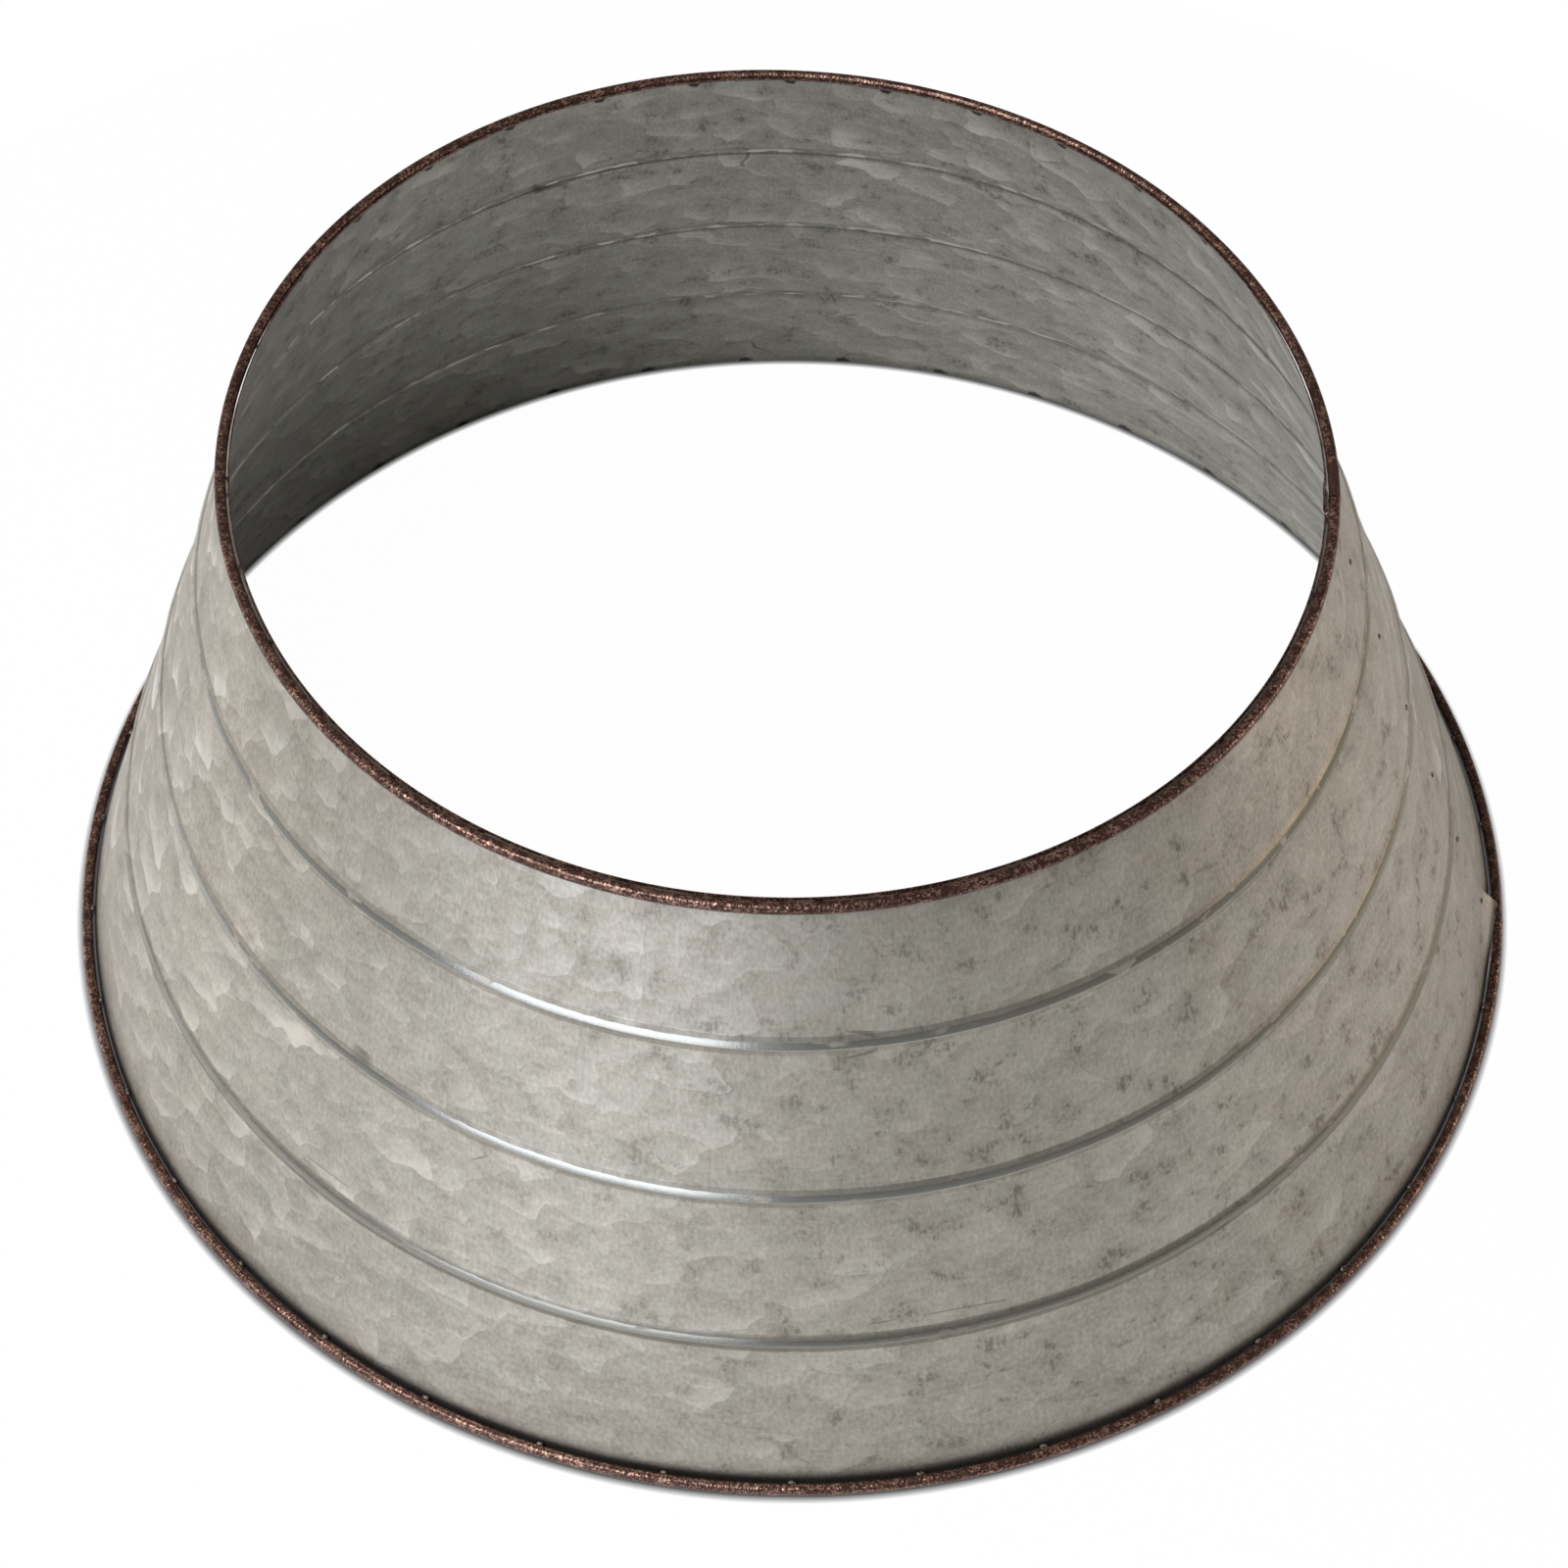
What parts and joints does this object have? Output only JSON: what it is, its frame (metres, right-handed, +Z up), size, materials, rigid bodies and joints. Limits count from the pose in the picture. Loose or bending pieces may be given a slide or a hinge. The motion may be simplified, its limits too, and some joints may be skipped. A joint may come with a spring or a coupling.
{
  "type": "christmas tree collar",
  "caption": "Tapered round skirt of ribbed galvanised sheet with a bronze-painted wire hoop at each rim, open right through, to hide a tree stand.",
  "frame": {"origin": "centre of the base hoop's footprint, on the floor", "axes": "+Z up along the tree's trunk; -Y is the side the picture shows as the front; the side seam is 7 degrees forward of +X"},
  "size_m": [0.6861, 0.6858, 0.2818],
  "materials": {
    "galvanised_sheet": "hot-dip galvanised, dulled spangle",
    "bronze_paint": "hammered bronze paint with copper flecks",
    "burnt_weld": "darkened weld mark"
  },
  "bodies": {
    "root": {"collar_sheet": "galvanised_sheet", "top_hoop": "bronze_paint", "base_hoop": "bronze_paint", "top_hoop_joint_weld": "bronze_paint", "base_hoop_joint_weld": "bronze_paint", "side_seam_spot_weld_1": "burnt_weld", "side_seam_spot_weld_2": "burnt_weld", "side_seam_spot_weld_3": "burnt_weld", "side_seam_spot_weld_4": "burnt_weld", "side_seam_spot_weld_5": "burnt_weld", "side_seam_spot_weld_6": "burnt_weld"}
  },
  "joints": []
}
